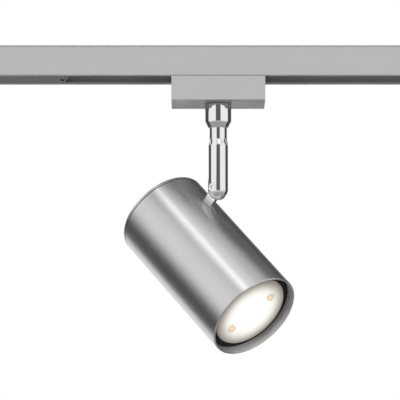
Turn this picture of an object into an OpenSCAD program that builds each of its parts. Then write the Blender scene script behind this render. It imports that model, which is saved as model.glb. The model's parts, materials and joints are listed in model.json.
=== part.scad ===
// Single-circuit track spotlight: a section of surface track, an adapter that slides and locks in it,
// a swivelling stem with a knuckle, and a cylindrical head that holds a GU10 reflector lamp.
// Origin: on the ceiling face of the track, straight above the stem. X runs along the track, Z is up,
// and -Y is the side that the spotlight is looked at from.

/* [Track] */
// Length of the track section
track_len = 300; // [280:10:600]
// Width of the track across its open side
track_w = 35; // [35:0.5:38]
// Height of the track below the ceiling
track_h = 19; // [19:0.5:21]
// Distance between the two ceiling screw holes
ceiling_hole_pitch = 200; // [160:10:240]
// Diameter of the ceiling screw holes
ceiling_hole_d = 4.5; // [3.5:0.1:5]
// Width of the slot along the underside of the track
mouth_w = 27; // [26.6:0.1:27.4]
// Diameter of the supply cable's entry through the top of the track
cable_entry_d = 10; // [6:0.5:12]
// Length of the feed connector's nose inside the track
feed_len = 55; // [54:1:60]

/* [Adapter] */
// Length of the adapter along the track
adapter_len = 58.5; // [58:0.5:70]
// Depth of the adapter below the underside of the track
adapter_h = 15.5; // [15:0.5:18]
// Turn of the lock lever from locked to released, in degrees
lever_throw = 84; // [80:1:86]

/* [Stem] */
// Diameter of the swivel collar
collar_d = 17.2; // [15:0.2:20]
// Length of the swivel collar
collar_len = 15.25; // [14:0.25:18]
// Diameter of the stem's neck under the collar
neck_d = 11.4; // [11:0.1:12.4]
// Diameter of the stem where it holds the knuckle
stem_d = 12.8; // [12.6:0.1:14]
// Drop from the ceiling to the tilt pivot
pivot_drop = 87.7; // [86:0.1:110]

/* [Head] */
// Outer diameter of the head tube
tube_d = 60; // [60:0.5:64]
// Length of the head from back to front
head_len = 104; // [100:1:120]
// Wall of the head tube
tube_wall = 1.2; // [1:0.1:1.4]
// How far the head reaches back past the pivot
head_back = 26; // [20:1:28]
// Gap between the pivot's centre and the head tube
knuckle_gap = 10.5; // [9.5:0.1:12]
// Heading of the beam, in degrees from +X towards +Y
heading = -41; // [-90:1:90]
// Tilt of the beam up from straight down, in degrees
tilt = 47; // [0:1:90]
// Depth of the lamp's front behind the front edge of the tube
lamp_recess = 3.4; // [2.4:0.2:5.4]

/* [Lamp] */
// Diameter of the lamp's front
lamp_d = 50; // [49:0.2:50.6]
// Turn of the lamp in its holder from insertion to lock, in degrees
lamp_turn = 30; // [20:1:35]

/* [Hidden] */
$fn = 96;

// Slack left on every side where one cutter passes through a face
eps = 1;

// Colours
satin_grey = [0.72, 0.72, 0.71];
brushed_nickel = [0.66, 0.65, 0.63];
polished_chrome = [0.85, 0.86, 0.87];
zinc_steel = [0.6, 0.61, 0.62];
copper = [0.72, 0.45, 0.3];
brass = [0.75, 0.62, 0.33];
white_plastic = [0.9, 0.9, 0.88];
black_plastic = [0.06, 0.06, 0.06];
ceramic_white = [0.93, 0.92, 0.88];
lens_white = [0.98, 0.96, 0.9];

// Track
track_wall = 1.6;
track_top = 2;
track_lip = 1.6;
cavity_w = track_w - 2 * track_wall;
groove = 0.6;
groove_z = -1.5;
rib_w = 1;
rib_h = 0.8;
insulator_in = 11.2;
insulator_out = cavity_w / 2 - 0.1;
insulator_bottom = -13.4;
insulator_top = -track_top - 0.1;
insulator_end = track_len / 2 - 0.5;
conductor_end = track_len / 2 - 4;
conductor_z = -8;
conductor_h = 4;
conductor_in = 12.4;
conductor_t = 1.2;
plate_t = 2.5;
nose_half = 10.8;
nose_wall = 1.6;
nose_top = -track_top - 0.3;
nose_bottom = -track_h + track_lip + 0.2;
nose_roof = -track_top - 2;
cap_nose_len = 22;
feed_start = -track_len / 2;
feed_entry_x = feed_start + 20;
feed_block_x = feed_start + 37;
feed_inner_end = feed_start + feed_len - 3;
feed_slot_near = feed_inner_end - 5.5;
feed_slot_far = feed_inner_end - 0.5;
terminal_pitch = 5.2;
terminal_half = 8.4;
terminal_len = 9;
terminal_bottom = -14.6;
terminal_top = -4.3;
terminal_screw_len = 5;
contact_near = 4.2;
contact_half_t = 0.5;
thumb_groove_r = 1.2;

// Adapter
adapter_top = -track_h - 0.3;
cover_t = 1.7;
cover_bottom = adapter_top - cover_t;
adapter_bottom = -track_h - adapter_h;
adapter_wall = 1.8;
adapter_floor = 2.2;
floor_top = adapter_bottom + adapter_floor;
boss_x = adapter_len / 2 - 5;
boss_y = track_w / 2 - 5;
guide_near = 16.5;
guide_far = adapter_len / 2 - 3;
guide_half = mouth_w / 2 - 0.5;
guide_top = insulator_bottom - 0.9;
guide_middle = (guide_near + guide_far) / 2;
guide_wall = 5.6;
guide_floor = -17.6;
boss_d = 5.6;
pilot_d = 2.5;
pilot_len = 8.5;
lever_window_half = 21.5;
plate_seat = 1.4;
plate_hole_d = 2.6;
bush_d = 12;
bush_flange_d = 15;
bush_flange_t = 1;

// Lock
rotor_d = 14;
rotor_bottom = cover_bottom - 2.5;
lock_plate_top = -track_h + track_lip + 1.8;
lock_plate_t = 1.6;
lock_plate_r = cavity_w / 2 - 0.5;
lock_plate_bottom = lock_plate_top - lock_plate_t;
carrier_top = -4.2;
lever_top = cover_bottom - 0.4;
lever_t = 1.9;
lever_r = 24;
lever_rest = -lever_throw / 2;
lever_tip_r = 2.6;
lever_hub_d = 20;
square_half = 4;
rotor_bore_d = 3.1;
carrier_d = 12;
blade_in = 2.6;
blade_w = 3.4;
blade_reach = conductor_in - 0.15;

// Stem
pivot_z = -pivot_drop;
spigot_d = 9.9;
stem_top = floor_top + bush_flange_t + 3.8;
washer_z = floor_top + bush_flange_t + 0.1;
washer_t = 0.8;
nut_z = washer_z + washer_t + 0.1;
nut_t = 2.5;
collar_top = adapter_bottom - 0.25;
collar_bottom = collar_top - collar_len;
collar_cone = 4;
shoulder_z = collar_bottom + 2;
flare_top = collar_bottom - 6.5;
flare_len = 5;
flare_steps = 10;
bore_d = 6;
slot_w = 3.2;
pivot_d = 4;
pin_fit = 0.05;
pin_head_d = 5.2;
pin_seat = 4.6;
pin_head_t = 1.4;
blade_t = 2.4;
lug_r = 4.2;
lug_gap = 0.5;
slot_top = pivot_z + lug_r + lug_gap + 0.3;
stem_tail = 1.2;
lead_d = 1.8;
lead_gap = 1.2;
lead_z = stem_top + 1.5;
block_lead_y = 3.2;

// Head, along its own axis: z = 0 is level with the pivot and the beam points down -z
tube_r = tube_d / 2;
tube_in = tube_r - tube_wall;
axis_offset = tube_r + knuckle_gap;
front_z = head_back - head_len;
cap_edge = 2;
cap_skin = 1.4;
cap_plug_r = tube_in - 0.1;
cap_vent_r = 18;
cap_vent_d = 3.2;
seam_z = head_back - 2.4;
seam_gap = 0.5;
edge_bevel = 0.4;
back_screw_d = 4;
back_head_d = 7.4;
back_head_h = 1.3;
back_sink = 0.1;
lamp_front = front_z + lamp_recess;
ring_front = lamp_front + 2.4;
foot_half = 3.6;
flange_x = tube_in - 1.1;
flange_t = 1.5;
arm_t = 1.2;
arm_x = flange_x - flange_t - 0.1;
arm_half = 6;
flange_screw_y = 4;

// Lamp and holder
lamp_r = lamp_d / 2;
lamp_base_z = lamp_front + 46.7;
holder_face = lamp_base_z + 0.3;
holder_top = holder_face + 19.6;
bracket_top = holder_top + arm_t;
pin_radius = 5;
pin_tip = lamp_base_z + 6.6;
lens_t = 2;
board_z = lamp_front + 5.6;
board_t = 1.2;
holder_screw_x = 11.5;
holder_lead_x = 6.5;
post_d = 8;
lamp_rim = 0.8;
rim_top = lamp_front + 1.5;
lamp_wall = 1.4;
neck_r = 12;
neck_len = 8.5;
neck_z = lamp_base_z - 5 - neck_len;
rim_back = lamp_front + 3;
lamp_pin_d = 2.5;
pin_foot_d = 4.8;
pin_foot_h = 2.2;
screw_radius = 15;
chip_radius = 9.5;
chip_t = 0.8;

// ---- Shared shapes ----

// Places its children in the plane that the head swings in, with the pivot at the origin
module at_pivot() {
    translate([0, 0, pivot_z]) rotate([0, 0, heading]) children();
}

// Places its children on the head's axis, x pointing at the pivot
module at_head() {
    at_pivot() rotate([0, -tilt, 0]) translate([-axis_offset, 0, 0]) children();
}

// Places its children on the lamp's axis, x along the two pins in the locked position
module at_lamp() {
    at_head() rotate([0, 0, lamp_turn]) children();
}

// A block given by its lowest and highest corners
module block(low, high) {
    translate(low) cube(high - low);
}

// A ring along Z
module ring(outer_d, inner_d, z0, z1) {
    translate([0, 0, z0])
        difference() {
            cylinder(d = outer_d, h = z1 - z0);
            translate([0, 0, -eps]) cylinder(d = inner_d, h = z1 - z0 + 2 * eps);
        }
}

// A straight round bar from a to b
module bar(a, b, d) {
    run = b - a;
    flat = norm([run.x, run.y]);
    translate(a)
        rotate([0, atan2(flat, run.z), atan2(run.y, run.x)])
            cylinder(d = d, h = norm(run), $fn = 24);
}

// A wire swept along a list of points: no stretch of it may run along Y
module wire(points, d, sides = 10) {
    last = len(points) - 1;
    corners = [
        for (i = [0 : last])
            let (along = points[min(i + 1, last)] - points[max(i - 1, 0)],
                 across = cross(along, [0, 1, 0]) / norm(cross(along, [0, 1, 0])),
                 up = cross(across, along) / norm(along))
                for (k = [0 : sides - 1])
                    points[i] + d / 2 * (cos(360 * k / sides) * across + sin(360 * k / sides) * up)
    ];
    walls = [
        for (i = [0 : last - 1]) for (k = [0 : sides - 1])
            let (n = (k + 1) % sides)
                [i * sides + k, i * sides + n, (i + 1) * sides + n, (i + 1) * sides + k]
    ];
    start = [for (k = [sides - 1 : -1 : 0]) k];
    end = [for (k = [0 : sides - 1]) last * sides + k];
    polyhedron(corners, concat(walls, [start, end]), convexity = 4);
}

// The cross that a driver fits, cut between two heights
module cross_recess(head_d, d, z0, z1) {
    for (a = [0, 90])
        rotate([0, 0, a]) block([-head_d * 0.3, -d * 0.1, z0], [head_d * 0.3, d * 0.1, z1]);
}

// A countersunk screw along -Z with a cross recess, its head's top at the origin
module countersunk_screw(d, head_d, head_h, length) {
    difference() {
        union() {
            translate([0, 0, -head_h]) cylinder(d1 = d, d2 = head_d, h = head_h, $fn = 48);
            translate([0, 0, -length]) cylinder(d = d, h = length, $fn = 32);
        }
        cross_recess(head_d, d, -head_h * 0.6, eps);
    }
}

// A pan-head screw along -Z with a cross recess, the underside of its head at the origin
module pan_screw(d, head_d, head_h, length) {
    difference() {
        union() {
            cylinder(d = head_d, h = head_h, $fn = 48);
            translate([0, 0, -length]) cylinder(d = d, h = length, $fn = 32);
        }
        cross_recess(head_d, d, head_h * 0.4, head_h + eps);
    }
}

// Extrudes a section drawn in Y and Z along X
module along_track(x0, x1) {
    translate([x0, 0, 0]) rotate([90, 0, 90]) linear_extrude(x1 - x0) children();
}

// ---- Track ----

module track_section() {
    difference() {
        translate([-track_w / 2, -track_h]) square([track_w, track_h]);
        translate([-cavity_w / 2, track_lip - track_h]) square([cavity_w, track_h - track_top - track_lip]);
        translate([-mouth_w / 2, -track_h - eps]) square([mouth_w, track_lip + 2 * eps]);
        // A shadow groove just under the ceiling edge of each face
        for (side = [-1, 1])
            translate([side * track_w / 2 - groove / 2, groove_z]) square(groove);
    }
    // Ribs that the insulators rest on
    for (side = [-1, 1])
        translate([side * (cavity_w / 2 - 0.45) - rib_w / 2, insulator_bottom - rib_h - 0.1])
            square([rib_w, rib_h]);
}

module track_profile() {
    color(satin_grey)
        difference() {
            along_track(-track_len / 2, track_len / 2) track_section();
            for (side = [-1, 1])
                translate([side * ceiling_hole_pitch / 2, 0, -track_top - eps])
                    cylinder(d = ceiling_hole_d, h = track_top + 2 * eps);
            translate([feed_entry_x, 0, -track_top - eps])
                cylinder(d = cable_entry_d, h = track_top + 2 * eps);
        }
}

// An insulating strip with the slot that its conductor lies in
module insulator(side) {
    color(black_plastic)
        along_track(-insulator_end, insulator_end)
            scale([side, 1])
                difference() {
                    translate([insulator_in, insulator_bottom])
                        square([insulator_out - insulator_in, insulator_top - insulator_bottom]);
                    translate([insulator_in - eps, conductor_z - conductor_h / 2])
                        square([conductor_in + conductor_t - insulator_in + eps, conductor_h]);
                }
}

module insulator_front() { insulator(-1); }
module insulator_rear() { insulator(1); }

module conductor(side) {
    middle = side * (conductor_in + conductor_t / 2);
    color(copper)
        block([-conductor_end, middle - conductor_t / 2, conductor_z - conductor_h / 2],
              [conductor_end, middle + conductor_t / 2, conductor_z + conductor_h / 2]);
}

module conductor_live() { conductor(-1); }
module conductor_neutral() { conductor(1); }

// The closing plate on the end of the track: side is -1 or 1
module end_plate(side) {
    middle = side * (track_len / 2 + plate_t / 2);
    block([middle - plate_t / 2, -track_w / 2, -track_h], [middle + plate_t / 2, track_w / 2, 0]);
}

module end_cap() {
    color(satin_grey) {
        end_plate(1);
        difference() {
            block([track_len / 2 - cap_nose_len, -nose_half, nose_bottom],
                  [track_len / 2, nose_half, nose_top]);
            block([track_len / 2 - cap_nose_len + 2, -nose_half + nose_wall, -track_h],
                  [track_len / 2 - 2, nose_half - nose_wall, nose_roof]);
        }
    }
}

module feed_housing() {
    color(satin_grey) {
        end_plate(-1);
        difference() {
            block([feed_start, -nose_half, nose_bottom], [feed_start + feed_len, nose_half, nose_top]);
            block([feed_start + 3, -nose_half + nose_wall, -track_h],
                  [feed_inner_end, nose_half - nose_wall, nose_roof]);
            translate([feed_entry_x, 0, nose_roof - eps])
                cylinder(d = cable_entry_d, h = 2 + 2 * eps);
            // Slots in the side walls that the spring contacts reach through
            block([feed_slot_near, -nose_half - eps, conductor_z - 2 * contact_half_t],
                  [feed_slot_far, nose_half + eps, conductor_z + 2 * contact_half_t]);
        }
    }
}

module feed_cover() {
    color(black_plastic)
        difference() {
            block([feed_start + 0.2, -mouth_w / 2 + 0.2, -track_h + 0.1],
                  [feed_start + feed_len - 1, mouth_w / 2 - 0.2, -track_h + track_lip]);
            // Thumb groove for taking the cover out
            translate([feed_inner_end, 0, -track_h - 0.4])
                rotate([90, 0, 0]) cylinder(r = thumb_groove_r, h = 8, center = true, $fn = 32);
        }
}

module feed_terminal() {
    color(white_plastic)
        difference() {
            block([feed_block_x, -terminal_half, terminal_bottom],
                  [feed_block_x + terminal_len, terminal_half, terminal_top]);
            for (i = [-1 : 1]) {
                translate([feed_block_x - eps, i * terminal_pitch, conductor_z])
                    rotate([0, 90, 0]) cylinder(d = 3, h = terminal_len + 2 * eps, $fn = 32);
                translate([feed_block_x + terminal_len / 2, i * terminal_pitch, terminal_bottom - eps])
                    cylinder(d = 3.2, h = terminal_screw_len + 1.8, $fn = 32);
            }
        }
}

module feed_terminal_screws() {
    color(zinc_steel)
        for (i = [-1 : 1])
            translate([feed_block_x + terminal_len / 2, i * terminal_pitch, terminal_bottom + 0.6])
                difference() {
                    cylinder(d = 3, h = terminal_screw_len, $fn = 32);
                    block([-2, -0.3, -eps], [2, 0.3, 1]);
                }
}

module feed_contacts() {
    low = conductor_z - contact_half_t;
    high = conductor_z + contact_half_t;
    color(copper)
        for (side = [-1, 1]) {
            near = side > 0 ? contact_near : -conductor_in;
            far = side > 0 ? conductor_in : -contact_near;
            strip = side * (contact_near + 1);
            block([feed_inner_end - 5, near, low], [feed_inner_end - 1, far, high]);
            block([feed_block_x + terminal_len, strip - 1, low], [feed_inner_end - 5, strip + 1, high]);
        }
}

// ---- Adapter ----

module boss_places() {
    for (x = [-boss_x, boss_x], y = [-boss_y, boss_y])
        translate([x, y, 0]) children();
}

module adapter_housing() {
    half = adapter_len / 2;
    color(satin_grey)
        difference() {
            union() {
                difference() {
                    block([-half, -track_w / 2, adapter_bottom], [half, track_w / 2, cover_bottom]);
                    block([-half + adapter_wall, -track_w / 2 + adapter_wall, floor_top],
                          [half - adapter_wall, track_w / 2 - adapter_wall, cover_bottom + eps]);
                }
                boss_places() translate([0, 0, floor_top - 0.5])
                    cylinder(d = boss_d, h = cover_bottom - floor_top + 0.5, $fn = 48);
            }
            translate([0, 0, adapter_bottom - eps]) cylinder(d = bush_d + 0.04, h = adapter_floor + 2 * eps);
            // Window in the rear wall that the lock lever sweeps through
            block([-lever_window_half, track_w / 2 - adapter_wall - eps, lever_top - lever_t - 0.5],
                  [lever_window_half, track_w / 2 + eps, cover_bottom + eps]);
            boss_places() translate([0, 0, cover_bottom - pilot_len])
                cylinder(d = pilot_d, h = pilot_len + eps, $fn = 32);
        }
}

module adapter_plate() {
    half = adapter_len / 2;
    color(satin_grey)
        difference() {
            union() {
                block([-half, -track_w / 2, cover_bottom], [half, track_w / 2, adapter_top]);
                for (side = [-1, 1]) {
                    // Guide that runs in the track's mouth
                    middle = side * guide_middle;
                    long = guide_far - guide_middle;
                    block([middle - long, -guide_half, adapter_top - 0.5],
                          [middle + long, guide_half, guide_top]);
                    // Rib that locates the plate inside the housing
                    rib = side * (half - adapter_wall - 0.7);
                    block([rib - 0.5, -8, cover_bottom - 1.4], [rib + 0.5, 8, cover_bottom + 0.5]);
                }
            }
            translate([0, 0, cover_bottom - eps]) cylinder(d = rotor_d + 0.15, h = cover_t + 2 * eps);
            // Each guide is hollowed from above
            for (side = [-1, 1])
                block([side * guide_middle - 3.2, -guide_half + guide_wall, guide_floor],
                      [side * guide_middle + 3.2, guide_half - guide_wall, guide_top + eps]);
            boss_places() translate([0, 0, adapter_top - plate_seat]) {
                cylinder(d1 = plate_hole_d, d2 = 5, h = plate_seat + 0.01, $fn = 48);
                translate([0, 0, -eps]) cylinder(d = plate_hole_d, h = 2 * eps, $fn = 32);
                // Way down to the screw through the guide
                translate([0, 0, plate_seat]) cylinder(d = 5.4, h = 8, $fn = 48);
            }
        }
}

module adapter_screws() {
    color(zinc_steel)
        boss_places() translate([0, 0, adapter_top - 0.1]) countersunk_screw(2.4, 4.6, 1.2, 9.5);
}

module swivel_bush() {
    color(brass) {
        ring(bush_d, spigot_d + 2 * pin_fit, adapter_bottom, floor_top + 0.01);
        ring(bush_flange_d, spigot_d + 2 * pin_fit, floor_top, floor_top + bush_flange_t);
    }
}

module adapter_terminal() {
    color(white_plastic)
        difference() {
            block([-adapter_len / 2 + 2.5, -7, floor_top], [-12, 7, lead_z + 1.4]);
            for (side = [-1, 1]) {
                translate([-12.5, side * block_lead_y, lead_z])
                    rotate([0, 90, 0]) cylinder(d = lead_d + 0.4, h = 1.5, $fn = 24);
                translate([-17, side * block_lead_y, lead_z - 2]) cylinder(d = 3, h = 5, $fn = 32);
            }
        }
}

module adapter_leads() {
    color(white_plastic)
        for (side = [-1, 1])
            wire([[-12.4, side * block_lead_y, lead_z], [-9, side * 3, lead_z], [-5, side * 1.8, lead_z],
                  [-2, side * lead_gap, lead_z], [-0.6, side * lead_gap, lead_z - 0.4],
                  [0, side * lead_gap, lead_z - 1.6], [0, side * lead_gap, stem_top - 3]], lead_d);
}

module earth_contact() {
    x0 = guide_near + 2;
    half_t = 0.12;
    color(brass)
        for (y = [-guide_half - 0.2, guide_half + 0.2])
            block([x0, y - half_t, -track_h + 0.1], [x0 + 6, y + half_t, guide_top - 0.3]);
}

// ---- Lock, drawn in its locked position ----

module lock_rotor() {
    color(black_plastic)
        difference() {
            union() {
                translate([0, 0, rotor_bottom])
                    cylinder(d = rotor_d, h = lock_plate_bottom - 0.05 - rotor_bottom);
                block([-square_half, -square_half, lock_plate_bottom - 0.1],
                      [square_half, square_half, lock_plate_top]);
            }
            translate([0, 0, rotor_bottom - eps]) cylinder(d = rotor_bore_d, h = 20, $fn = 32);
        }
}

module lock_plate() {
    hole_half = square_half + 0.05;
    color(zinc_steel)
        difference() {
            intersection() {
                translate([0, 0, lock_plate_bottom]) cylinder(r = lock_plate_r, h = lock_plate_t);
                block([-6, -20, lock_plate_bottom - eps], [6, 20, lock_plate_top + eps]);
            }
            block([-hole_half, -hole_half, lock_plate_bottom - eps],
                  [hole_half, hole_half, lock_plate_top + eps]);
        }
}

module lock_lever() {
    z0 = lever_top - lever_t;
    color(black_plastic)
        rotate([0, 0, lever_rest])
            difference() {
                union() {
                    translate([0, 0, z0]) cylinder(d = lever_hub_d, h = lever_t);
                    block([-lever_tip_r, 0, z0], [lever_tip_r, lever_r - lever_tip_r, lever_top]);
                    translate([0, lever_r - lever_tip_r, z0])
                        cylinder(r = lever_tip_r, h = lever_t, $fn = 48);
                }
                translate([0, 0, z0 - eps]) cylinder(d = rotor_d + 0.04, h = lever_t + 2 * eps);
            }
}

module contact_carrier() {
    color(white_plastic)
        difference() {
            translate([0, 0, lock_plate_top + 0.05])
                cylinder(d = carrier_d, h = carrier_top - lock_plate_top - 0.05);
            translate([0, 0, lock_plate_top - eps]) cylinder(d = rotor_bore_d, h = 20, $fn = 32);
            translate([0, 0, carrier_top - 2.4]) cylinder(d = 6, h = 4, $fn = 48);
            for (side = [-1, 1])
                block([-blade_w / 2 - 0.05, side * 5 - 2.5, conductor_z - contact_half_t - 0.05],
                      [blade_w / 2 + 0.05, side * 5 + 2.5, conductor_z + contact_half_t + 0.05]);
        }
}

// A contact blade that reaches into the insulator's slot
module contact_blade(side) {
    color(copper)
        intersection() {
            translate([0, 0, conductor_z - contact_half_t])
                cylinder(r = blade_reach, h = 2 * contact_half_t);
            block([-blade_w / 2, side > 0 ? blade_in : -20, conductor_z - eps],
                  [blade_w / 2, side > 0 ? 20 : -blade_in, conductor_z + eps]);
        }
}

module contact_live() { contact_blade(-1); }
module contact_neutral() { contact_blade(1); }

module rotor_screw() {
    color(zinc_steel) translate([0, 0, carrier_top - 2.3]) pan_screw(3, 5.5, 1.8, 14);
}

// ---- Stem ----

module swivel_collar() {
    r = collar_d / 2;
    color(polished_chrome)
        difference() {
            rotate_extrude()
                polygon([[0, collar_top], [r - 0.3, collar_top], [r, collar_top - 0.3],
                         [r, collar_bottom + collar_cone], [neck_d / 2 + 0.8, collar_bottom],
                         [0, collar_bottom]]);
            translate([0, 0, shoulder_z]) cylinder(d = spigot_d + 0.06, h = collar_len);
            translate([0, 0, collar_bottom - eps]) cylinder(d = neck_d + 0.06, h = 2 + eps);
        }
}

module stem_tube() {
    r = stem_d / 2;
    flare = [for (k = [0 : flare_steps])
        let (part = k / flare_steps)
        [r - (r - neck_d / 2) * (1 + cos(180 * part)) / 2, flare_top - flare_len * part]];
    color(polished_chrome)
        difference() {
            union() {
                rotate_extrude()
                    polygon(concat(
                        [[0, stem_top], [spigot_d / 2 - 0.4, stem_top], [spigot_d / 2, stem_top - 0.4],
                         [spigot_d / 2, shoulder_z], [neck_d / 2, shoulder_z]],
                        flare,
                        [[r, pivot_z - stem_tail], [0, pivot_z - stem_tail]]));
                translate([0, 0, pivot_z - stem_tail]) sphere(r = r);
            }
            translate([0, 0, slot_top - eps]) cylinder(d = bore_d, h = stem_top - slot_top + 2 * eps);
            at_pivot() {
                // Slot for the knuckle's blade, closed on the side that the head never swings to
                block([-stem_d, -slot_w / 2, -stem_d], [lug_r + lug_gap, slot_w / 2, slot_top - pivot_z]);
                rotate([90, 0, 0]) {
                    cylinder(d = pivot_d + 2 * pin_fit, h = 2 * stem_d, center = true);
                    for (side = [0, 180])
                        rotate([side, 0, 0]) translate([0, 0, pin_seat])
                            cylinder(d = pin_head_d + 0.2, h = stem_d);
                }
            }
        }
}

module swivel_washer() {
    color(zinc_steel) ring(16, spigot_d + 0.2, washer_z, washer_z + washer_t);
}

module swivel_nut() {
    color(brass)
        difference() {
            translate([0, 0, nut_z]) cylinder(d = 14 / cos(30), h = nut_t, $fn = 6);
            translate([0, 0, nut_z - eps]) cylinder(d = spigot_d + 0.04, h = nut_t + 2 * eps);
        }
}

module pivot_screw() {
    color(polished_chrome)
        at_pivot() rotate([90, 0, 0])
            difference() {
                union() {
                    translate([0, 0, pin_seat + 0.05]) cylinder(d = pin_head_d, h = pin_head_t);
                    translate([0, 0, -pin_seat - 1.6]) cylinder(d = pivot_d, h = 2 * pin_seat + 1.7);
                }
                translate([0, 0, pin_seat + 0.7]) cylinder(d = 2.9, h = 3, $fn = 6);
            }
}

module pivot_nut() {
    color(polished_chrome)
        at_pivot() rotate([-90, 0, 0])
            difference() {
                translate([0, 0, pin_seat + 0.05]) cylinder(d = pin_head_d, h = pin_head_t);
                cylinder(d = pivot_d + 0.04, h = 4 * pin_seat);
            }
}

module friction_washers() {
    color(zinc_steel)
        at_pivot()
            for (side = [90, -90])
                rotate([side, 0, 0]) ring(9, pivot_d + 2 * pin_fit, blade_t / 2 + 0.05, slot_w / 2 - 0.05);
}

module stem_leads() {
    color(white_plastic)
        for (side = [-1, 1])
            bar([0, side * lead_gap, slot_top + 2], [0, side * lead_gap, stem_top - 4], lead_d);
}

// ---- Head ----

module head_tube() {
    color(brushed_nickel)
        at_head()
            difference() {
                rotate_extrude()
                    polygon([[tube_in, seam_z - seam_gap], [tube_r - 0.2, seam_z - seam_gap],
                             [tube_r, seam_z - seam_gap - 0.2],
                             [tube_r, front_z + edge_bevel], [tube_r - edge_bevel, front_z],
                             [tube_in + edge_bevel, front_z], [tube_in, front_z + edge_bevel]]);
                // Slit that the knuckle's blade passes through
                block([tube_in - 3, -blade_t / 2 - 0.1, -foot_half - 0.2],
                      [tube_r + eps, blade_t / 2 + 0.1, foot_half + 0.2]);
            }
}

// Half of the back cap's section: a skin with a rounded edge, and a spigot that plugs into the tube
module back_cap_section() {
    edge_r = tube_r - cap_edge;
    translate([0, head_back - cap_skin]) square([edge_r, cap_skin]);
    intersection() {
        translate([edge_r, head_back - cap_edge]) circle(r = cap_edge, $fn = 48);
        translate([edge_r, seam_z]) square([cap_edge, head_back - seam_z]);
    }
    translate([edge_r - 0.1, seam_z]) square([cap_edge + 0.1, head_back - cap_edge - seam_z]);
    translate([cap_plug_r - cap_skin, seam_z - 7]) square([cap_skin, head_back - cap_skin - seam_z + 7.2]);
}

module back_cap() {
    hole_d = back_screw_d + 0.3;
    taper = (back_head_d - back_screw_d) / back_head_h;
    sink = back_head_h + back_sink;
    color(brushed_nickel)
        at_head()
            difference() {
                rotate_extrude() back_cap_section();
                translate([0, 0, head_back - cap_skin - eps])
                    cylinder(d = hole_d, h = cap_skin + 2 * eps, $fn = 48);
                // Countersink, parallel to the screw's head
                translate([0, 0, head_back - sink])
                    cylinder(d1 = hole_d, d2 = hole_d + taper * (sink + 0.01), h = sink + 0.01, $fn = 64);
                for (i = [0 : 11])
                    rotate([0, 0, 30 * i + 15]) translate([cap_vent_r, 0, head_back - cap_skin - eps])
                        cylinder(d = cap_vent_d, h = cap_skin + 2 * eps, $fn = 32);
            }
}

module back_screw() {
    color(brushed_nickel)
        at_head() translate([0, 0, head_back - back_sink])
            countersunk_screw(back_screw_d, back_head_d, back_head_h, 10);
}

module cap_post() {
    color(zinc_steel)
        at_head() ring(post_d, back_screw_d + 0.04, bracket_top, head_back - cap_skin - 0.1);
}

module tilt_blade() {
    web_in = flange_x - 0.5;
    color(polished_chrome)
        at_head()
            difference() {
                union() {
                    rotate([90, 0, 0]) linear_extrude(blade_t, center = true) {
                        translate([axis_offset, 0]) circle(r = lug_r);
                        polygon([[axis_offset, lug_r], [tube_r + 1, foot_half], [web_in, foot_half],
                                 [web_in, -foot_half], [tube_r + 1, -foot_half], [axis_offset, -lug_r]]);
                    }
                    block([flange_x - flange_t, -arm_half, -foot_half - 1],
                          [flange_x, arm_half, foot_half + 1]);
                }
                translate([axis_offset, 0, 0]) rotate([90, 0, 0])
                    cylinder(d = pivot_d + 2 * pin_fit, h = 4 * blade_t, center = true);
                for (side = [-1, 1])
                    translate([flange_x - flange_t - eps, side * flange_screw_y, 0])
                        rotate([0, 90, 0]) cylinder(d = 3.04, h = flange_t + 2 * eps, $fn = 32);
            }
}

module blade_screws() {
    color(zinc_steel)
        at_head()
            for (side = [-1, 1])
                translate([arm_x - arm_t, side * flange_screw_y, 0])
                    rotate([0, -90, 0]) pan_screw(3, 3.9, 1.6, 2.7);
}

module holder_bracket() {
    low = bracket_top - arm_t;
    color(zinc_steel)
        at_head()
            difference() {
                union() {
                    block([arm_x - arm_t, -arm_half, low], [arm_x, arm_half, foot_half + 1]);
                    block([-17, -arm_half, low], [arm_x, arm_half, bracket_top]);
                }
                for (side = [-1, 1]) {
                    translate([side * holder_screw_x, 0, low - eps])
                        cylinder(d = 3.2, h = arm_t + 2 * eps, $fn = 32);
                    translate([side * holder_lead_x, 0, low - eps])
                        cylinder(d = 2.6, h = arm_t + 2 * eps, $fn = 32);
                    translate([arm_x - arm_t - eps, side * flange_screw_y, 0])
                        rotate([0, 90, 0]) cylinder(d = 3.2, h = arm_t + 2 * eps, $fn = 32);
                }
            }
}

module bracket_screws() {
    color(zinc_steel)
        at_head()
            for (side = [-1, 1])
                translate([side * holder_screw_x, 0, bracket_top]) pan_screw(3, 5.4, 1.8, 9);
}

// One slot of the holder's bayonet between two depths, along the chord that a pin moves on
module bayonet_slot(half_w, z0, z1) {
    near = pin_radius * (1 + cos(lamp_turn / 2)) / 2;
    half = pin_radius * sin(lamp_turn / 2) + half_w;
    rotate([0, 0, lamp_turn / 2]) block([near - half_w, -half, z0], [near + half_w, half, z1]);
}

module lamp_holder() {
    color(ceramic_white)
        at_head()
            difference() {
                intersection() {
                    translate([0, 0, holder_face]) cylinder(d = 34, h = holder_top - holder_face);
                    block([-20, -8.5, holder_face - eps], [20, 8.5, holder_top + eps]);
                }
                for (side = [0, 180])
                    rotate([0, 0, side]) {
                        bayonet_slot(1.7, holder_face - eps, holder_face + 2.5);
                        bayonet_slot(2.8, holder_face + 2, holder_face + 8);
                        // Round way in for a pin's foot, then the screw and the lead from behind
                        translate([pin_radius, 0, holder_face - eps]) cylinder(r = 2.6, h = 3.6, $fn = 32);
                        translate([holder_screw_x, 0, holder_top - 9.5])
                            cylinder(d = 3.04, h = 10.5, $fn = 32);
                        translate([holder_lead_x, 0, holder_face + 7.5]) cylinder(d = 2.4, h = 14, $fn = 32);
                    }
            }
}

module holder_contacts() {
    color(brass)
        at_head()
            for (side = [0, 180])
                rotate([0, 0, side + lamp_turn / 2]) translate([pin_radius, 0, holder_face + 7])
                    cylinder(d = 5, h = 0.8, $fn = 32);
}

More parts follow.
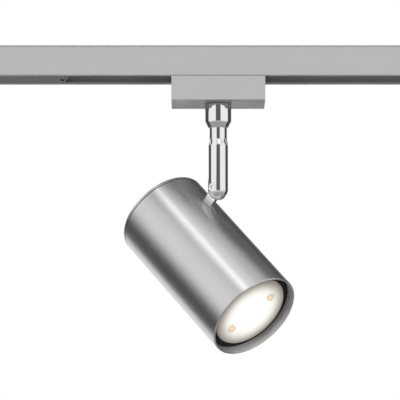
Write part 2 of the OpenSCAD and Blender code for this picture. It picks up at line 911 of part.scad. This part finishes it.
module head_leads() {
    lead_end = holder_face + 8.6;
    color(white_plastic)
        at_head() {
            wire([[holder_lead_x, 0, lead_end], [holder_lead_x, 0, -4], [7.2, 0.2, -1.5], [9.5, 1, 1],
                  [14, 2.2, 4], [19, 3, 6]], lead_d);
            wire([[-holder_lead_x, 0, lead_end], [-holder_lead_x, 0, -4], [-5.6, -1.5, -0.5], [-3, -5, 2],
                  [1, -6.6, 3.6], [8, -6, 5.5], [19, -3, 8]], lead_d);
        }
}

module centring_ring() {
    outer = tube_in - 0.1;
    inner = lamp_r + 0.4;
    color(black_plastic)
        at_head()
            rotate_extrude()
                polygon([[inner, ring_front + 0.5], [inner + 0.5, ring_front], [outer, ring_front],
                         [outer, ring_front + 10], [outer - 1.2, ring_front + 10],
                         [outer - 1.2, ring_front + 2], [inner, ring_front + 2]]);
}

// ---- Lamp, drawn locked in its holder ----

module lamp_body() {
    color(white_plastic)
        at_lamp()
            difference() {
                rotate_extrude()
                    polygon([[0, rim_top], [lamp_r - 0.3, rim_top], [lamp_r, rim_top + 0.3],
                             [lamp_r, rim_back], [lamp_r - 1, rim_back + 0.6], [lamp_r - 2.2, rim_back + 8],
                             [lamp_r - 5, rim_back + 17], [neck_r + 3, neck_z - 4], [neck_r, neck_z],
                             [neck_r, neck_z + neck_len], [0, neck_z + neck_len]]);
                rotate_extrude()
                    polygon([[0, rim_top - eps], [lamp_r - lamp_rim, rim_top - eps],
                             [lamp_r - lamp_rim, lamp_front + lens_t + 0.2],
                             [lamp_r - 2.4, lamp_front + lens_t + 0.2],
                             [lamp_r - 2.6, board_z + board_t], [lamp_r - 3.8, rim_back + 8],
                             [lamp_r - 6.6, rim_back + 17], [neck_r + 1.4, neck_z - 4],
                             [neck_r - lamp_wall, neck_z],
                             [neck_r - lamp_wall, neck_z + neck_len - lamp_wall],
                             [0, neck_z + neck_len - lamp_wall]]);
            }
}

module lamp_base() {
    color(white_plastic)
        at_lamp()
            difference() {
                rotate_extrude()
                    polygon([[0, lamp_base_z], [9.4, lamp_base_z], [10, lamp_base_z - 0.6],
                             [10, lamp_base_z - 3], [neck_r, lamp_base_z - 5], [0, lamp_base_z - 5]]);
                for (side = [-1, 1])
                    translate([side * pin_radius, 0, lamp_base_z - 4])
                        cylinder(d = lamp_pin_d + 0.06, h = 5, $fn = 32);
            }
}

module lamp_pins() {
    color(zinc_steel)
        at_lamp()
            for (side = [-1, 1])
                translate([side * pin_radius, 0, lamp_base_z - 3.8]) {
                    cylinder(d = lamp_pin_d, h = 3.8 + 5, $fn = 32);
                    translate([0, 0, pin_tip - lamp_base_z + 3.8 - pin_foot_h])
                        cylinder(d = pin_foot_d, h = pin_foot_h, $fn = 32);
                }
}

module lamp_lens() {
    color(lens_white, 0.6)
        at_lamp()
            difference() {
                translate([0, 0, lamp_front + 0.2]) cylinder(r = lamp_r - lamp_rim - 0.1, h = lens_t - 0.1);
                for (side = [-1, 1])
                    translate([side * screw_radius, 0, lamp_front - eps]) {
                        cylinder(d = 2.1, h = 2 * lens_t + eps, $fn = 32);
                        cylinder(d = 3.4, h = eps + 1, $fn = 32);
                    }
            }
}

module lens_screws() {
    color(brass)
        at_lamp()
            for (side = [-1, 1])
                translate([side * screw_radius, 0, lamp_front + 0.95])
                    rotate([180, 0, 0]) pan_screw(2, 3.2, 0.7, board_z - lamp_front - 0.95);
}

module led_board() {
    color(white_plastic)
        at_lamp() translate([0, 0, board_z]) cylinder(r = lamp_r - 3.2, h = board_t);
}

module led_chips() {
    color(lens_white)
        at_lamp() {
            block([-2, -2, board_z - chip_t], [2, 2, board_z]);
            for (i = [0 : 5])
                rotate([0, 0, 60 * i + 30]) translate([chip_radius, 0, 0])
                    block([-1.75, -1.75, board_z - chip_t], [1.75, 1.75, board_z]);
        }
}

module driver_board() {
    z0 = board_z + board_t + 4;
    color("seagreen")
        at_lamp() {
            block([-8, -0.8, z0], [8, 0.8, z0 + 24]);
            translate([0, 0.7, z0 + 8]) rotate([-90, 0, 0]) cylinder(d = 8, h = 5, $fn = 48);
            block([-5, -4.5, z0 + 13], [4, -0.7, z0 + 21]);
        }
}

track_profile();
insulator_front();
insulator_rear();
conductor_live();
conductor_neutral();
end_cap();
feed_housing();
feed_cover();
feed_terminal();
feed_terminal_screws();
feed_contacts();
adapter_housing();
adapter_plate();
adapter_screws();
swivel_bush();
adapter_terminal();
adapter_leads();
earth_contact();
lock_rotor();
lock_plate();
lock_lever();
contact_carrier();
contact_live();
contact_neutral();
rotor_screw();
swivel_collar();
stem_tube();
swivel_washer();
swivel_nut();
pivot_screw();
pivot_nut();
friction_washers();
stem_leads();
head_tube();
back_cap();
back_screw();
cap_post();
tilt_blade();
blade_screws();
holder_bracket();
bracket_screws();
lamp_holder();
holder_contacts();
head_leads();
centring_ring();
lamp_body();
lamp_base();
lamp_pins();
lamp_lens();
lens_screws();
led_board();
led_chips();
driver_board();
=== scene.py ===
"""Looks of the track spotlight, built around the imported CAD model. All lengths are in metres."""

import json
import math

import bmesh
import bpy
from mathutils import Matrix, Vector
from mathutils.geometry import delaunay_2d_cdt


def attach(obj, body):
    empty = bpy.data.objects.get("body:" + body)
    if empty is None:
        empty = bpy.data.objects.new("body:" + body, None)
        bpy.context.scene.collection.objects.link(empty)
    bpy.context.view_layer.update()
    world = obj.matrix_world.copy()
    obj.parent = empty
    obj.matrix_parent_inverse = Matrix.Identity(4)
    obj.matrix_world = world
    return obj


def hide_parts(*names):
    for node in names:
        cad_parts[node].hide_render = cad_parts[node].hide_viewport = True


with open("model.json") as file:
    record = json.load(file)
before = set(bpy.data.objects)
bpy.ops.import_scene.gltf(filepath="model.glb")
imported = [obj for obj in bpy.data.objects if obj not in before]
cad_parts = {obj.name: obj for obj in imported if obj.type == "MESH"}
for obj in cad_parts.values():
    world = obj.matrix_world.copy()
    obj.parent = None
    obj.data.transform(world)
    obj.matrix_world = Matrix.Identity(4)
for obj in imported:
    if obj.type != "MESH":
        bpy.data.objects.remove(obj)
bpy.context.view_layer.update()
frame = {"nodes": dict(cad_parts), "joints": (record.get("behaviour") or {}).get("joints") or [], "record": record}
nodes = frame["nodes"]
joints = {joint["name"]: joint for joint in frame["joints"]}
scene = bpy.context.scene

# The head's own axes: z runs from its front to its back, y is the tilt axis, x points at the pivot
HEAD_Z = Vector(joints["lamp_twist"]["axis"]).normalized()
HEAD_Y = Vector(joints["tilt"]["axis"]).normalized()
HEAD_X = HEAD_Y.cross(HEAD_Z).normalized()
HEAD_CENTRE = Vector(joints["lamp_twist"]["pos_m"])

# The lamp is drawn locked, so its own x, along which its two screws lie, is turned by the whole twist
LAMP_TURN = math.radians(-joints["lamp_twist"]["range_deg"][0])
LAMP_X = HEAD_X * math.cos(LAMP_TURN) + HEAD_Y * math.sin(LAMP_TURN)
LAMP_Y = HEAD_Z.cross(LAMP_X)

MM = 0.001
PER_MM = 1000.0

# The optic's two screws lie this far from its centre, and its brightest part ends short of them
SCREW_RADIUS = 15 * MM
CORE_RADIUS = 12.6 * MM


# ---- Camera and studio ----

def add_camera():
    """The camera looks along +Y and 8 degrees upwards, at the stem and the head."""
    elevation = math.radians(8)
    distance = 2.0
    frame_width = 0.25
    target = Vector((-0.0114, 0, -0.0952))
    look = Vector((0, math.cos(elevation), math.sin(elevation)))
    data = bpy.data.cameras.new("camera")
    data.sensor_width = 36
    data.lens = data.sensor_width * distance / frame_width
    data.clip_start = 0.1
    data.clip_end = 100
    camera = bpy.data.objects.new("camera", data)
    camera.location = target - look * distance
    camera.rotation_euler = look.to_track_quat("-Z", "Y").to_euler()
    scene.collection.objects.link(camera)
    scene.camera = camera


class Graph:
    """A node tree whose helpers each make one node and return its output."""

    def __init__(self, tree):
        self.tree = tree
        tree.nodes.clear()

    def make(self, kind, sockets=(), **settings):
        made = self.tree.nodes.new("ShaderNode" + kind)
        for key, value in settings.items():
            setattr(made, key, value)
        for key, value in dict(sockets).items():
            if isinstance(value, bpy.types.NodeSocket):
                self.tree.links.new(value, made.inputs[key])
            else:
                made.inputs[key].default_value = value
        return made

    def math(self, operation, a, b=0.0):
        return self.make("Math", {0: a, 1: b}, operation=operation).outputs[0]

    def vector(self, operation, a, b=(0, 0, 0)):
        made = self.make("VectorMath", {0: a, 1: b}, operation=operation)
        return made.outputs["Value" if operation in ("DOT_PRODUCT", "LENGTH") else "Vector"]

    def blend(self, factor, a, b):
        return self.make("Mix", {0: factor, 2: a, 3: b}, data_type="FLOAT").outputs[0]

    def colour(self, factor, a, b):
        return self.make("Mix", {0: factor, 6: a, 7: b}, data_type="RGBA").outputs[2]

    def ramp(self, value, low, high, start=0.0, end=1.0):
        sockets = {0: value, 1: low, 2: high, 3: start, 4: end}
        return self.make("MapRange", sockets, interpolation_type="SMOOTHSTEP").outputs[0]

    def noise(self, vector, scale, detail=2.0):
        return self.make("TexNoise", {"Vector": vector, "Scale": scale, "Detail": detail}).outputs[0]

    def spread(self, noise, start=0.0, end=1.0):
        """Noise lies mostly between 0.3 and 0.7, and is spread here from start to end."""
        return self.ramp(noise, 0.3, 0.7, start, end)

    def bump(self, height, depth, strength):
        return self.make("Bump", {"Height": height, "Distance": depth, "Strength": strength}).outputs[0]


def add_world():
    """A white studio: a wide soft source in front and overhead, dark flags at the sides and high behind."""
    world = bpy.data.worlds.new("studio")
    scene.world = world
    world.use_nodes = True
    world.cycles.sampling_method = "NONE"
    g = Graph(world.node_tree)
    towards = g.make("TexCoord").outputs["Generated"]
    axes = g.make("SeparateXYZ", {0: towards})
    x, y, z = axes.outputs
    # 0 degrees is the camera's side and 180 is behind the object
    azimuth = g.math("ABSOLUTE", g.math("ARCTAN2", x, g.math("MULTIPLY", y, -1.0)))
    strip_axis = Vector((0.81, 0.51, 0.30)).normalized()
    fence_edge = 0.15

    def lobe(level, direction, inner, outer, value):
        """Blends to value within an angle of a direction, in degrees."""
        nearness = g.vector("DOT_PRODUCT", towards, Vector(direction).normalized())
        mask = g.ramp(nearness, math.cos(math.radians(outer)), math.cos(math.radians(inner)))
        return g.blend(mask, level, value)

    def strip(level, near, far, soft, value):
        """Blends to value in a band of the ceiling, between two distances along the strips' axis."""
        across = g.vector("DOT_PRODUCT", towards, strip_axis)
        rise = g.ramp(across, near - soft, near + soft)
        fall = g.ramp(across, far + soft, far - soft)
        mask = g.math("MULTIPLY", g.math("MULTIPLY", rise, fall), g.ramp(z, 0.3, 0.6))
        return g.blend(mask, level, value)

    def fence(level, near, far, soft, value, high, low=-0.6):
        """Blends to value between two azimuths in degrees, over a band of heights."""
        rise = g.ramp(azimuth, math.radians(near - soft), math.radians(near + soft))
        fall = g.ramp(azimuth, math.radians(far + soft), math.radians(far - soft))
        lower = g.ramp(z, low - fence_edge, low + fence_edge)
        upper = g.ramp(z, high + fence_edge, high - fence_edge)
        mask = g.math("MULTIPLY", g.math("MULTIPLY", rise, fall), g.math("MULTIPLY", lower, upper))
        return g.blend(mask, level, value)

    # Grey below and white above
    level = g.ramp(z, -0.7, 0.1, 0.35, 0.95)
    # Strips of the ceiling, which draw the grey and bright stripes along the tube
    level = strip(level, near=-0.50, far=-0.33, soft=0.05, value=0.64)
    level = strip(level, near=-0.26, far=-0.10, soft=0.05, value=1.85)
    level = strip(level, near=0.22, far=0.8, soft=0.12, value=0.72)
    # Flags: high behind, at both sides, white between those, and a low one in front
    level = lobe(level, direction=(0.3, 0.8, 0.52), inner=30, outer=44, value=0.06)
    level = fence(level, near=88, far=136, soft=5, value=0.07, high=0.3)
    level = fence(level, near=141, far=200, soft=5, value=1.0, high=0.3)
    level = fence(level, near=-30, far=20, soft=3, value=0.12, high=0.35, low=-0.2)
    # Matt surfaces see only a smooth rise from the floor to the ceiling
    soft = g.ramp(z, -0.75, 0.35, 0.06, 1.3)

    path = g.make("LightPath")
    level = g.blend(path.outputs["Is Diffuse Ray"], level, soft)
    level = g.blend(path.outputs["Is Camera Ray"], level, 1.0)
    background = g.make("Background", {"Color": (1, 1, 1, 1), "Strength": level})
    g.make("OutputWorld", {"Surface": background.outputs[0]})


def add_floor():
    """A pale floor, well below the hanging spotlight."""
    half = 4.5
    height = -0.75
    mesh = bpy.data.meshes.new("floor")
    corners = [(-half, -half, height), (half, -half, height), (half, half, height), (-half, half, height)]
    mesh.from_pydata(corners, [], [(0, 1, 2, 3)])
    floor = bpy.data.objects.new("floor", mesh)
    scene.collection.objects.link(floor)
    material = bpy.data.materials.new("floor")
    material.use_nodes = True
    g = Graph(material.node_tree)
    grain = g.noise(g.make("TexCoord").outputs["Object"], 6.0, 4.0)
    tone = g.colour(grain, (0.91, 0.91, 0.9, 1), (0.94, 0.94, 0.93, 1))
    shader = g.make("BsdfPrincipled", {"Base Color": tone, "Roughness": 0.9})
    g.make("OutputMaterial", {"Surface": shader.outputs[0]})
    mesh.materials.append(material)
    floor.visible_glossy = False
    floor.visible_diffuse = False


# ---- Materials ----

SOCKETS = {
    "roughness": "Roughness",
    "metallic": "Metallic",
    "anisotropic": "Anisotropic",
    "gloss": "Specular IOR Level",
    "light": "Emission Color",
    "emission": "Emission Strength",
    "ior": "IOR",
}


def material(name, build, **fixed):
    """A material whose uneven sockets come from build, and whose constant ones are in fixed."""
    made = bpy.data.materials.new(name)
    made.use_nodes = True
    g = Graph(made.node_tree)
    sockets = {SOCKETS[key]: value for key, value in fixed.items()}
    sockets.update(build(g))
    shader = g.make("BsdfPrincipled", sockets)
    g.make("OutputMaterial", {"Surface": shader.outputs[0]})
    return made


def place(g):
    """The point on the object, in millimetres, in the frame of its own body at rest."""
    return g.vector("MULTIPLY", g.make("TexCoord").outputs["Object"], (PER_MM,) * 3)


def shade(rgb, factor):
    return (rgb[0] * factor, rgb[1] * factor, rgb[2] * factor, 1.0)


def enamel(rgb, roughness, stretch=(1, 1, 1)):
    """Satin powder coat: a fine pebbled skin with a faint change of tone, drawn out along the extrusion."""
    def build(g):
        point = place(g)
        pebble = g.noise(point, 2.6, 3.0)
        drawn = g.noise(g.vector("MULTIPLY", point, stretch), 0.7, 2.0)
        dust = g.noise(point, 0.05, 3.0)
        tone = g.math("ADD", g.math("MULTIPLY", drawn, 0.5), g.math("MULTIPLY", pebble, 0.5))
        height = g.math("ADD", pebble, g.math("MULTIPLY", drawn, 0.6))
        return {
            "Base Color": g.colour(g.spread(tone), shade(rgb, 0.98), shade(rgb, 1.02)),
            "Roughness": g.spread(dust, roughness - 0.05, roughness + 0.06),
            "Normal": g.bump(height, 0.008 * MM, 0.5),
        }
    return build


def moulded(rgb, roughness, grain=5.0, depth=0.012):
    """Moulded plastic: an even tone with the spark-eroded texture of the tool."""
    def build(g):
        point = place(g)
        texture = g.noise(point, grain, 3.0)
        flow = g.noise(point, 0.18, 2.0)
        return {
            "Base Color": g.colour(g.spread(flow), shade(rgb, 0.94), shade(rgb, 1.06)),
            "Roughness": g.spread(texture, roughness - 0.05, roughness + 0.07),
            "Normal": g.bump(texture, depth * MM, 0.7),
        }
    return build


def polished(rgb, roughness):
    """Polished plate: nearly a mirror, with a haze of handling and a few hairline scratches."""
    def build(g):
        point = place(g)
        haze = g.noise(point, 0.22, 3.0)
        scratch = g.noise(g.vector("MULTIPLY", point, (3.0, 3.0, 0.25)), 3.0, 2.0)
        worn = g.math("MULTIPLY", g.ramp(scratch, 0.66, 0.74), 0.05)
        hazy = g.ramp(haze, 0.35, 0.75, roughness * 0.7, roughness * 1.6)
        return {
            "Base Color": g.colour(g.spread(haze), shade(rgb, 0.985), shade(rgb, 1.0)),
            "Roughness": g.math("ADD", hazy, worn),
            "Normal": g.bump(scratch, 0.001 * MM, 0.4),
        }
    return build


def plated(rgb, roughness, tint):
    """Plated or drawn metal of the small parts: uneven gloss and a slight change of colour."""
    def build(g):
        point = place(g)
        cloud = g.noise(point, 0.5, 3.0)
        drawn = g.noise(g.vector("MULTIPLY", point, (1.0, 1.0, 0.15)), 6.0, 2.0)
        return {
            "Base Color": g.colour(g.spread(cloud), shade(rgb, 0.93), shade(tint, 1.03)),
            "Roughness": g.spread(drawn, roughness - 0.06, roughness + 0.08),
            "Normal": g.bump(drawn, 0.004 * MM, 0.5),
        }
    return build


def brushed(rgb, roughness):
    """Brushed nickel: fine rings round the head's axis smear reflections along it. The bore is duller."""
    bore_radius = 28.9
    bore_dulling = 0.4

    def build(g):
        point = place(g)
        offset = g.vector("SUBTRACT", point, HEAD_CENTRE * PER_MM)
        along = g.vector("DOT_PRODUCT", offset, HEAD_Z)
        round_axis = g.vector("CROSS_PRODUCT", Vector(HEAD_Z), offset)
        radius = g.vector("LENGTH", round_axis)
        drift = g.vector("MULTIPLY", point, (0.02,) * 3)

        def rings(pitch):
            sockets = {0: g.math("MULTIPLY", along, pitch), 1: g.math("MULTIPLY", radius, pitch)}
            pair = g.make("CombineXYZ", sockets).outputs[0]
            return g.noise(g.vector("ADD", pair, drift), 1.0, 2.0)

        fine = rings(6.0)
        broad = rings(0.9)
        lines = g.math("ADD", g.math("MULTIPLY", fine, 0.8), g.math("MULTIPLY", broad, 0.2))
        cut = g.spread(lines, roughness - 0.03, roughness + 0.04)
        smudge = g.ramp(g.noise(point, 0.06, 3.0), 0.4, 0.75, 0.0, 0.03)
        bore = g.ramp(radius, bore_radius + 0.3, bore_radius)
        dull = g.math("MULTIPLY", bore, bore_dulling)
        facing = g.make("NewGeometry").outputs["Normal"]
        to_world = {"vector_type": "VECTOR", "convert_from": "OBJECT", "convert_to": "WORLD"}
        turned = g.make("VectorTransform", {0: round_axis}, **to_world).outputs[0]
        return {
            "Base Color": g.colour(g.spread(lines), shade(rgb, 0.975), shade(rgb, 1.025)),
            "Roughness": g.math("ADD", g.math("ADD", cut, smudge), dull),
            "Tangent": g.vector("CROSS_PRODUCT", facing, turned),
            "Normal": g.bump(fine, 0.002 * MM, g.blend(bore, 0.3, 0.0)),
        }
    return build


def glowing(rgb):
    """Phosphor of the lit chips."""
    def build(g):
        grain = g.noise(place(g), 4.0, 2.0)
        return {
            "Base Color": shade(rgb, 0.9),
            "Emission Color": g.colour(grain, shade(rgb, 0.97), shade(rgb, 1.0)),
            "Normal": g.bump(grain, 0.02 * MM, 0.5),
        }
    return build


def lit_optic(g):
    """The lit optic: dimmer and warmer towards the rim, on the lenslets' flanks and round the two screws."""
    bright_edge, shoulder, rim = 11.0, 14.5, 25.5
    point = place(g)
    offset = g.vector("SUBTRACT", point, HEAD_CENTRE * PER_MM)
    radius = g.vector("LENGTH", g.vector("CROSS_PRODUCT", Vector(HEAD_Z), offset))
    inner = g.colour(g.ramp(radius, bright_edge, shoulder), (2.0, 1.97, 1.86, 1), (0.87, 0.85, 0.786, 1))
    glow = g.colour(g.ramp(radius, shoulder, rim), inner, (0.168, 0.147, 0.123, 1))
    facing = g.vector("DOT_PRODUCT", g.make("TexCoord").outputs["Normal"], Vector(-HEAD_Z))
    glow = g.colour(g.ramp(facing, 0.99, 0.95, 0.0, 0.3), glow, (0.2, 0.18, 0.16, 1))
    for side in (1, -1):
        screw = (HEAD_CENTRE + LAMP_X * (side * SCREW_RADIUS)) * PER_MM
        away = g.vector("CROSS_PRODUCT", Vector(HEAD_Z), g.vector("SUBTRACT", point, screw))
        halo = g.ramp(g.vector("LENGTH", away), 4.5, 1.8)
        glow = g.colour(halo, glow, (0.54, 0.444, 0.315, 1))
    return {
        "Base Color": g.colour(g.ramp(radius, 15.0, 24.0), (0.28, 0.27, 0.25, 1), (0.24, 0.22, 0.195, 1)),
        "Roughness": g.spread(g.noise(point, 2.0), 0.1, 0.18),
        "Emission Color": glow,
    }


def hot_core(g):
    """The middle of the optic, over the chips, which is too bright to look at."""
    point = place(g)
    return {
        "Base Color": g.colour(g.noise(point, 0.6), (0.27, 0.26, 0.24, 1), (0.29, 0.28, 0.26, 1)),
        "Roughness": g.spread(g.noise(point, 2.0), 0.1, 0.18),
    }


def brass_painted_glow(g):
    """Brass of the optic's screws, which are sunk in the glowing plastic. Their emission is a painted glow that
    stands in for the optic's light falling on them.
    """
    point = place(g)
    cloud = g.noise(point, 1.2)
    return {
        "Base Color": g.colour(cloud, (0.68, 0.52, 0.27, 1), (0.74, 0.58, 0.3, 1)),
        "Roughness": g.spread(g.noise(point, 3.0), 0.3, 0.45),
        # Painted glow: the screws are no lamp, and this emission colour stands in for the optic's light on them
        "Emission Color": g.colour(cloud, (0.56, 0.45, 0.33, 1), (0.68, 0.56, 0.42, 1)),
    }


def circuit(rgb, line):
    """Printed board: solder mask over copper tracks."""
    def build(g):
        point = place(g)
        cells = g.make("TexVoronoi", {"Vector": point, "Scale": 0.45}, feature="DISTANCE_TO_EDGE").outputs[0]
        track = g.ramp(cells, 0.05, 0.08)
        return {
            "Base Color": g.colour(track, (*line, 1), (*rgb, 1)),
            "Roughness": g.spread(g.noise(point, 1.5), 0.3, 0.45),
            "Normal": g.bump(track, 0.03 * MM, 0.6),
        }
    return build


GREY = (0.569, 0.577, 0.574)
NICKEL = (0.69, 0.69, 0.688)
MATERIALS = {
    "track_enamel": material("track_enamel", enamel(GREY, 0.42, (0.02, 1, 1)), gloss=0.4),
    "grey_plastic": material("grey_plastic", enamel(GREY, 0.45), gloss=0.4),
    "white_plastic": material("white_plastic", moulded((0.76, 0.76, 0.74), 0.4)),
    "feed_plastic": material("feed_plastic", enamel(GREY, 0.45), gloss=0.4),
    "black_plastic": material("black_plastic", moulded((0.016, 0.016, 0.016), 0.48), gloss=0.4),
    "copper": material("copper", plated((0.78, 0.42, 0.26), 0.3, (0.7, 0.36, 0.22)), metallic=1.0),
    "brass": material("brass", plated((0.74, 0.58, 0.3), 0.3, (0.68, 0.52, 0.27)), metallic=1.0),
    "zinc_steel": material("zinc_steel", plated((0.56, 0.57, 0.58), 0.3, (0.6, 0.6, 0.56)), metallic=1.0),
    "chrome": material("chrome", polished((0.86, 0.87, 0.88), 0.05), metallic=1.0),
    "brushed_nickel": material("brushed_nickel", brushed(NICKEL, 0.3), metallic=1.0, anisotropic=0.85),
    "ceramic": material("ceramic", moulded((0.8, 0.78, 0.72), 0.55, 3.0, 0.02)),
    "lead_sleeve": material("lead_sleeve", moulded((0.7, 0.7, 0.68), 0.5, 1.5, 0.03)),
    "lamp_shell": material("lamp_shell", moulded((0.72, 0.7, 0.67), 0.38, 3.0, 0.01)),
    "board_white": material("board_white", circuit((0.78, 0.78, 0.76), (0.7, 0.7, 0.66))),
    "board_green": material("board_green", circuit((0.03, 0.16, 0.07), (0.06, 0.24, 0.1))),
    "lamp_optic": material("lamp_optic", lit_optic, emission=1.0, ior=1.49),
    "lamp_core": material("lamp_core", hot_core, light=(1.0, 0.985, 0.93, 1), emission=12.0, ior=1.49),
    # The optic's screws: brass with a painted glow
    "brass_painted_glow": material("brass_painted_glow", brass_painted_glow, metallic=1.0, emission=1.0),
    "led_phosphor": material("led_phosphor", glowing((1.0, 0.86, 0.6)), emission=3.0, roughness=0.5),
}


def dress_nodes():
    """Gives every CAD node its slot's material and a small broken edge."""
    fine_edge = 0.12
    moulded_edges = {
        "adapter_housing": 0.9, "adapter_plate": 0.35, "track_profile": 0.25, "end_cap": 0.4,
        "feed_housing": 0.4, "feed_cover": 0.25, "lock_lever": 0.35, "lamp_holder": 0.6,
    }
    for subpart in frame["record"]["subparts"]:
        name = subpart["node"]
        obj = nodes[name]
        # The optic's screws get brass with a painted glow in place of their slot's material
        finish = "brass_painted_glow" if name == "lens_screws" else subpart["material_slot"]
        obj.data.materials.clear()
        obj.data.materials.append(MATERIALS[finish])
        weld = obj.modifiers.new("weld", "WELD")
        weld.merge_threshold = 0.002 * MM
        bevel = obj.modifiers.new("edge", "BEVEL")
        bevel.width = moulded_edges.get(name, fine_edge) * MM
        bevel.segments = 3 if name in moulded_edges else 2
        bevel.limit_method = "ANGLE"
        bevel.angle_limit = math.radians(35)
        bevel.use_clamp_overlap = True
        bevel.loop_slide = False
        weighted = obj.modifiers.new("shading", "WEIGHTED_NORMAL")
        weighted.keep_sharp = True
        weighted.mode = "FACE_AREA_WITH_ANGLE"


# ---- The lamp's optic ----

# The lenslets' spacing and height, and the plain rim round them, over whose inner part they fade out
PITCH = 2.1 * MM
BULGE = 0.22 * MM
RIM = 1.5 * MM
FADE = 1.2 * MM

# The two screws, with their heads' and shanks' holes and how deep the heads are sunk
SCREW_SPOTS = ((SCREW_RADIUS, 0), (-SCREW_RADIUS, 0))
HEAD_HOLE = 1.7 * MM
SHANK_HOLE = 1.05 * MM
SEAT_DEPTH = 0.8 * MM

RING_COUNT = 144
HOLE_COUNT = 32


def axial_extent(name):
    """(front, back, radius) of a node along and around the head's axis."""
    offsets = [v.co - HEAD_CENTRE for v in nodes[name].data.vertices]
    along = [offset.dot(HEAD_Z) for offset in offsets]
    across = [offset.cross(HEAD_Z).length for offset in offsets]
    return min(along), max(along), max(across)


def circle(radius, count, centre=(0, 0)):
    steps = [2 * math.pi * k / count for k in range(count)]
    return [Vector((centre[0] + radius * math.cos(a), centre[1] + radius * math.sin(a))) for a in steps]


def row_shift(row, spacing):
    """Every other row of a honeycomb is shifted by half its spacing."""
    return spacing / 2 if row % 2 else 0


def lenslet_height(point):
    """Height of the honeycomb of small lenses at a point of the optic."""
    row_height = PITCH * math.sqrt(3) / 2
    row = round(point.y / row_height)
    nearest = PITCH
    for r in (row - 1, row, row + 1):
        shift = row_shift(r, PITCH)
        column = round((point.x - shift) / PITCH)
        nearest = min(nearest, (point - Vector((column * PITCH + shift, r * row_height))).length)
    return BULGE * (1 - (nearest * math.sqrt(3) / PITCH) ** 2)


def screw_distance(point):
    return min((point - Vector(spot)).length for spot in SCREW_SPOTS)


def grid_points(reach, step):
    """Points of a triangular grid over the lensed part, clear of its edge and of the screws."""
    margin = step * 0.6
    rows = int(reach / (step * math.sqrt(3) / 2)) + 1
    columns = int(reach / step) + 1
    found = []
    for row in range(-rows, rows + 1):
        y = row * step * math.sqrt(3) / 2
        for column in range(-columns, columns + 1):
            point = Vector((column * step + row_shift(row, step), y))
            if point.length < reach - margin and screw_distance(point) > HEAD_HOLE + margin:
                found.append(point)
    return found


def bored_disc(radius, hole, inner_points):
    """Points and triangles of a disc less the screws' two holes, and its loops: the edge, then each hole."""
    loops = [circle(radius, RING_COUNT)] + [circle(hole, HOLE_COUNT, spot) for spot in SCREW_SPOTS]
    outline, edges, spans = [], [], []
    for loop in loops:
        first = len(outline)
        outline += loop
        edges += [(first + k, first + (k + 1) % len(loop)) for k in range(len(loop))]
        spans.append(range(first, first + len(loop)))
    convex_hull, nearness = 0, 1e-7
    made = delaunay_2d_cdt(outline + inner_points, edges, [], convex_hull, nearness, True)
    points, faces, sources = made[0], made[2], made[3]
    index = {source[0]: new for new, source in enumerate(sources) if source}
    kept = []
    for face in faces:
        middle = sum((points[i] for i in face), Vector((0, 0))) / len(face)
        if screw_distance(middle) > hole * 0.98:
            kept.append(face)
    return points, kept, [[index[k] for k in span] for span in spans]


def build_optic():
    """The clear moulded optic: a honeycomb of lenslets inside a plain rim, bored for its two screws."""
    front, back, radius = axial_extent("lamp_lens")
    lens_radius = radius - RIM
    mesh = bmesh.new()

    def crown(point):
        fade = min(1.0, max(0.0, (lens_radius - point.length) / FADE))
        return front + BULGE - lenslet_height(point) * fade

    def vertices(points, depth):
        return [mesh.verts.new(HEAD_CENTRE + LAMP_X * p.x + LAMP_Y * p.y + HEAD_Z * depth(p)) for p in points]

    def wall(upper, lower):
        count = len(upper)
        for k in range(count):
            n = (k + 1) % count
            mesh.faces.new([upper[k], upper[n], lower[n], lower[k]])

    rim_points = circle(radius - RIM / 3, RING_COUNT) + circle(radius - RIM * 2 / 3, RING_COUNT)
    inner_points = rim_points + grid_points(lens_radius, PITCH / 6)
    points, faces, front_loops = bored_disc(radius, HEAD_HOLE, inner_points)
    top = vertices(points, crown)
    for face in faces:
        mesh.faces.new([top[i] for i in reversed(face)])
    points, faces, back_loops = bored_disc(radius, SHANK_HOLE, [])
    bottom = vertices(points, lambda p: back)
    for face in faces:
        mesh.faces.new([bottom[i] for i in face])

    wall([top[i] for i in front_loops[0]], [bottom[i] for i in back_loops[0]])
    for spot, front_loop, back_loop in zip(SCREW_SPOTS, front_loops[1:], back_loops[1:]):
        holes = [circle(hole, HOLE_COUNT, spot) for hole in (HEAD_HOLE, SHANK_HOLE)]
        seat = [vertices(hole, lambda p: front + SEAT_DEPTH) for hole in holes]
        chain = [[top[i] for i in front_loop], *seat, [bottom[i] for i in back_loop]]
        for upper, lower in zip(chain, chain[1:]):
            wall(lower, upper)
    bmesh.ops.recalc_face_normals(mesh, faces=mesh.faces)
    data = bpy.data.meshes.new("optic")
    mesh.to_mesh(data)
    mesh.free()

    data.materials.append(MATERIALS["lamp_optic"])
    data.materials.append(MATERIALS["lamp_core"])
    for polygon in data.polygons:
        polygon.use_smooth = True
        off_axis = (polygon.center - HEAD_CENTRE).cross(HEAD_Z).length
        if off_axis < CORE_RADIUS and polygon.normal.dot(HEAD_Z) < -0.5:
            polygon.material_index = 1
    data.set_sharp_from_angle(angle=math.radians(40))
    optic = bpy.data.objects.new("optic", data)
    scene.collection.objects.link(optic)
    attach(optic, "lamp")
    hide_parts("lamp_lens")


scene.view_settings.view_transform = "Standard"
add_camera()
add_world()
add_floor()
dress_nodes()
build_optic()
